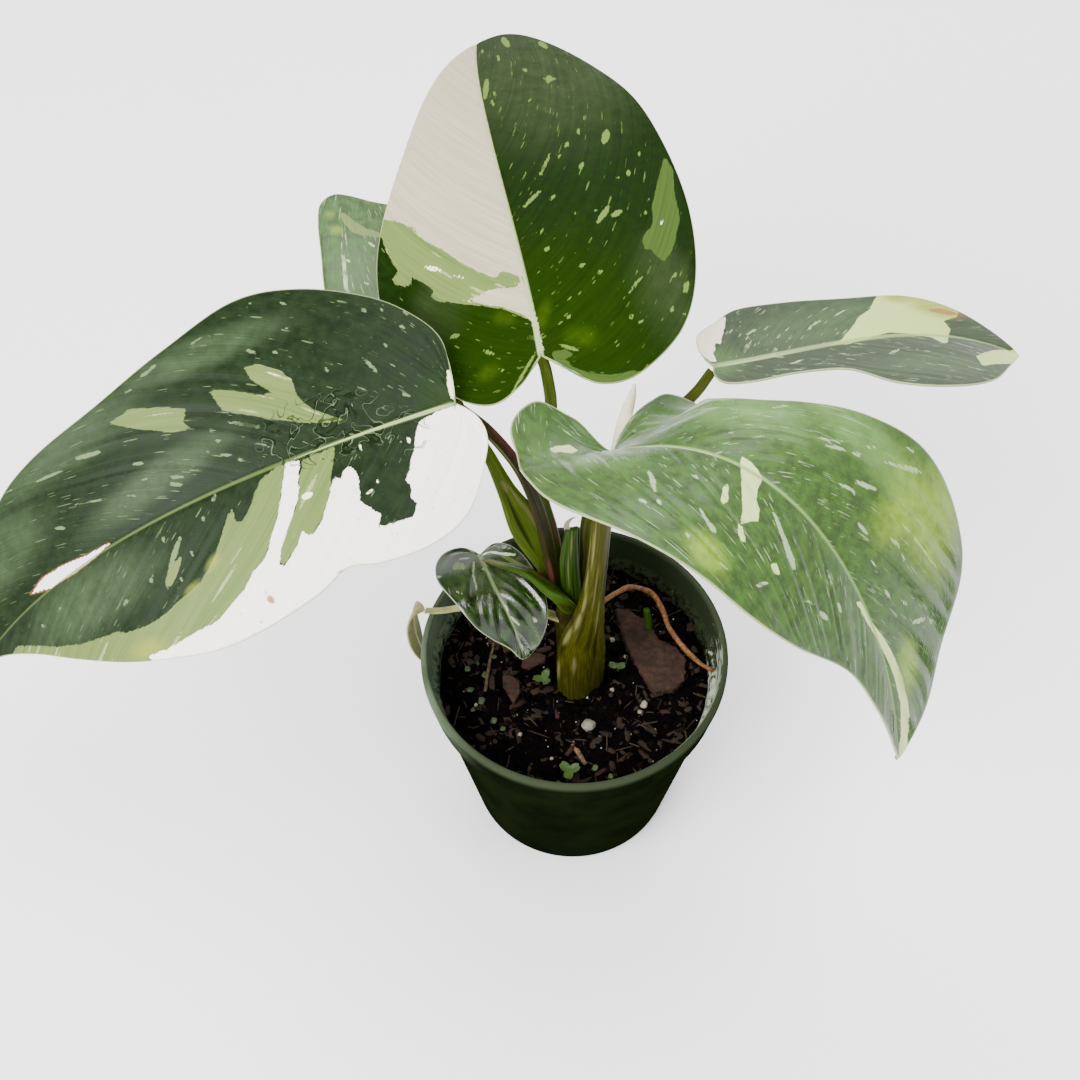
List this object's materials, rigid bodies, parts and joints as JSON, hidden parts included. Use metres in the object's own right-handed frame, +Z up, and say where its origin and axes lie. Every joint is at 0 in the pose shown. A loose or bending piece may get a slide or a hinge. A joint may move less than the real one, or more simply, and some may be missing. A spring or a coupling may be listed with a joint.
{
  "type": "potted variegated philodendron",
  "caption": "Potted philodendron with large white, pale green and dark green leaves on arching stalks, rooted in dark soil in a round plastic nursery pot that stands on its flat base.",
  "frame": {"origin": "the middle of the pot's flat underside, where the part stands", "axes": "+Z up; +Y points away from the front, with the small leaf towards the front left; +X points to the right, where the speckled leaf hangs"},
  "size_m": [0.3116, 0.2396, 0.223],
  "materials": {
    "pot": "moulded dark green plastic with a low sheen and faint scuffs",
    "soil": "loose dark potting mix with fine bark, fibre and white grains",
    "leaf_half_white": "satin leaf, one half white, the other dark green with pale speckles",
    "leaf_patched": "satin leaf, dark green with a white sector and pale green patches",
    "leaf_speckled": "satin leaf, mid green with a grey sheen and many pale speckles",
    "leaf_grey": "satin leaf, grey green with white and yellow-green patches",
    "leaf_streaked": "satin leaf, mid green with a pale streak and speckles",
    "leaf_young": "glossy young leaf, dark and bright green with pale veins",
    "leaf_pale": "limp pale cream-yellow leaf",
    "stalk": "smooth olive green stalk with fine ridges and pale streaks",
    "spear": "tightly rolled cream-white new leaf",
    "root": "thin orange-brown root",
    "straw": "dry straw",
    "bark": "rough red-brown bark",
    "seedling": "tiny bright green sprouts"
  },
  "bodies": {
    "root": {"pot": "pot", "soil": "soil", "blade_top": "leaf_half_white", "blade_left": "leaf_patched", "blade_right": "leaf_speckled", "blade_back_right": "leaf_grey", "blade_back_left": "leaf_streaked", "blade_small": "leaf_young", "blade_old": "leaf_pale", "stem": "stalk", "petiole_right": "stalk", "petiole_left": "stalk", "petiole_top": "stalk", "petiole_back_right": "stalk", "petiole_back_left": "stalk", "petiole_small": "stalk", "petiole_old": "leaf_pale", "cataphyll": "stalk", "spear": "spear", "aerial_root": "root", "green_stub": "stalk", "straw": "straw", "twig": "straw", "bark": "bark", "chip_back_left": "bark", "chip_left": "bark", "chip_front_left": "bark", "seedling_front": "seedling", "seedling_left": "seedling", "seedling_right": "seedling"}
  },
  "joints": []
}
